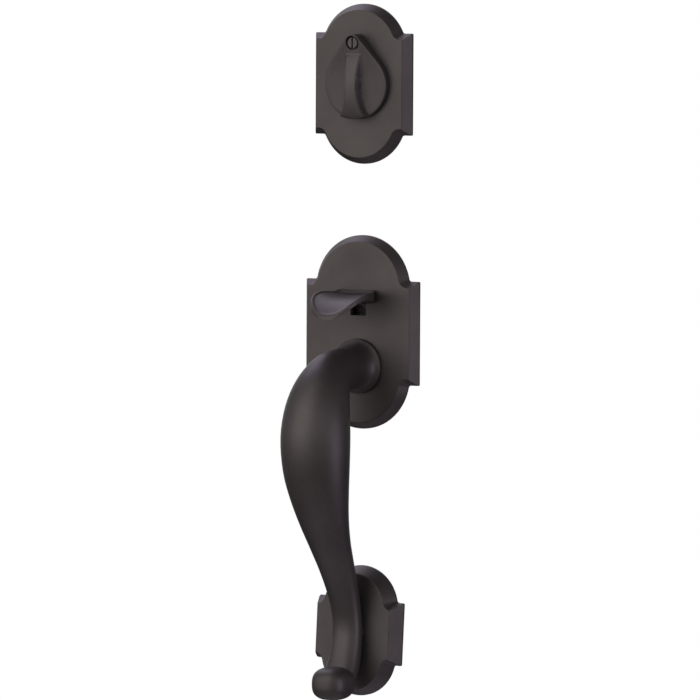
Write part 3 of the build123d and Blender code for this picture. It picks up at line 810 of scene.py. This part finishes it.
direction = add_node(sky, "ShaderNodeTexCoord")
parts = add_node(sky, "ShaderNodeSeparateXYZ", {"Vector": direction.outputs["Generated"]})
height = add_node(sky, "ShaderNodeMapRange", {"Value": parts.outputs["Z"]}, From_Min=-1.0)
room = add_node(
    sky,
    "ShaderNodeValToRGB",
    {"Fac": height.outputs["Result"]},
    stops=[
        (0.0, "#241f22"),
        (0.36, "#38343a"),
        (0.5, "#a8a6a4"),
        (0.7, "#a09ea2"),
        (0.88, "#3c3a3e"),
        (1.0, "#1c1a1e"),
    ],
)
in_front = add_node(
    sky,
    "ShaderNodeMapRange",
    {"Value": parts.outputs["Y"]},
    interpolation_type="SMOOTHSTEP",
    From_Min=0.35,
    From_Max=-0.75,
)
level = add_node(sky, "ShaderNodeMapRange", {"Value": in_front.outputs["Result"]}, To_Min=0.5, To_Max=2.1)
studio = add_node(
    sky, "ShaderNodeBackground", {"Color": room.outputs["Color"], "Strength": level.outputs["Result"]}
)
print("studio nodes", len(sky.nodes))

# %% [markdown]
# ## Paper in the reflections
# Reflections that run back past the set find the white paper there, up and to the left, and draw the
# thin light lines along the edges. Three smooth steps limit the paper: it lies behind, above the table
# and to the left. It is there only where all three are, so they are multiplied.

# %% Paper in the reflections
paper_limits = [("Y", 0.2, 0.7), ("Z", -0.25, 0.05), ("X", 0.15, -0.25)]
limits = [
    add_node(
        sky,
        "ShaderNodeMapRange",
        {"Value": parts.outputs[axis]},
        interpolation_type="SMOOTHSTEP",
        From_Min=outside,
        From_Max=inside,
    ).outputs["Result"]
    for axis, outside, inside in paper_limits
]
path = add_node(sky, "ShaderNodeLightPath")
paper = path.outputs["Is Glossy Ray"]
for limit in limits:
    paper = add_node(sky, "ShaderNodeMath", {0: paper, 1: limit}, operation="MULTIPLY").outputs["Value"]
print("nodes with the paper", len(sky.nodes))

# %% [markdown]
# ## White background
# The camera sees plain white, through the Light Path node, and so does light that passes through
# something clear. The greatest of those and the paper says how much of the white is shown.

# %% White background
shown = paper
for ray in ("Is Camera Ray", "Is Transmission Ray"):
    either = add_node(sky, "ShaderNodeMath", {0: path.outputs[ray], 1: shown}, operation="MAXIMUM")
    shown = either.outputs["Value"]
white = add_node(sky, "ShaderNodeBackground", Color=linear("#ffffff"), Strength=1.0)
mixed = add_node(
    sky,
    "ShaderNodeMixShader",
    {"Fac": shown, 1: studio.outputs["Background"], 2: white.outputs["Background"]},
)
add_node(sky, "ShaderNodeOutputWorld", {"Surface": mixed.outputs["Shader"]})
print("world nodes", len(sky.nodes))

# %% [markdown]
# ## Lamps
# One wide soft lamp at the front left makes the broad glow on the plates and the belly, and a second
# one above it lights the elbow of the grip. A panel at the far right lifts the bevels on that side, and
# a lavender panel overhead, at the back, is what the dish of the thumbpiece and the shoulder mirror.

# %% Lamps
def area_lamp(name, place, size, watts, colour):
    """A square soft light that looks at the middle of the set."""
    data = bpy.data.lights.new(name, "AREA")
    data.shape = "SQUARE"
    data.size = size
    data.energy = watts
    data.color = linear(colour)[:3]
    lamp = bpy.data.objects.new(name, data)
    bpy.context.scene.collection.objects.link(lamp)
    lamp.location = place
    lamp.rotation_euler = Vector(place).to_track_quat("Z", "Y").to_euler()
    print(name, size, "m", watts, "W")


area_lamp("soft_window", (-1.2, -2.5, 0.45), 2.8, 33, "#fffaf6")
area_lamp("high_window", (-0.5, -1.9, 2.1), 1.8, 14, "#fffaf6")
area_lamp("side_panel", (2.5, 0.0, -0.4), 1.4, 18, "#f2eaff")
area_lamp("overhead_panel", (-1.6, 0.6, 2.3), 1.7, 28, "#e9defc")

# %% [markdown]
# ## Floor
# The floor is plain and pale and lies a metre below, as it does under a door handle. It is out of the
# picture, but the bevels that face down mirror it.

# %% Floor
floor_drop = 1.0
floor_radius = 0.85

bpy.ops.object.select_all(action="DESELECT")
bpy.ops.mesh.primitive_circle_add(
    vertices=96, radius=floor_radius, fill_type="NGON", location=(0, 0, -floor_drop)
)
floor = bpy.context.object
floor.name = "floor"
bpy.ops.object.transform_apply(location=True, rotation=True, scale=True)
plaster, tree = new_material("pale_floor")
floor_tint = add_node(tree, "ShaderNodeBsdfDiffuse", Color=linear("#e9e7ea"))
add_node(tree, "ShaderNodeOutputMaterial", {"Surface": floor_tint.outputs["BSDF"]})
floor.data.materials.append(plaster)
print("floor", 2 * floor_radius, "m wide")

# %% [markdown]
# ## View transform
# The view transform is the plain one, so that colours come out as written.

# %% Finish
bpy.context.scene.view_settings.view_transform = "Standard"
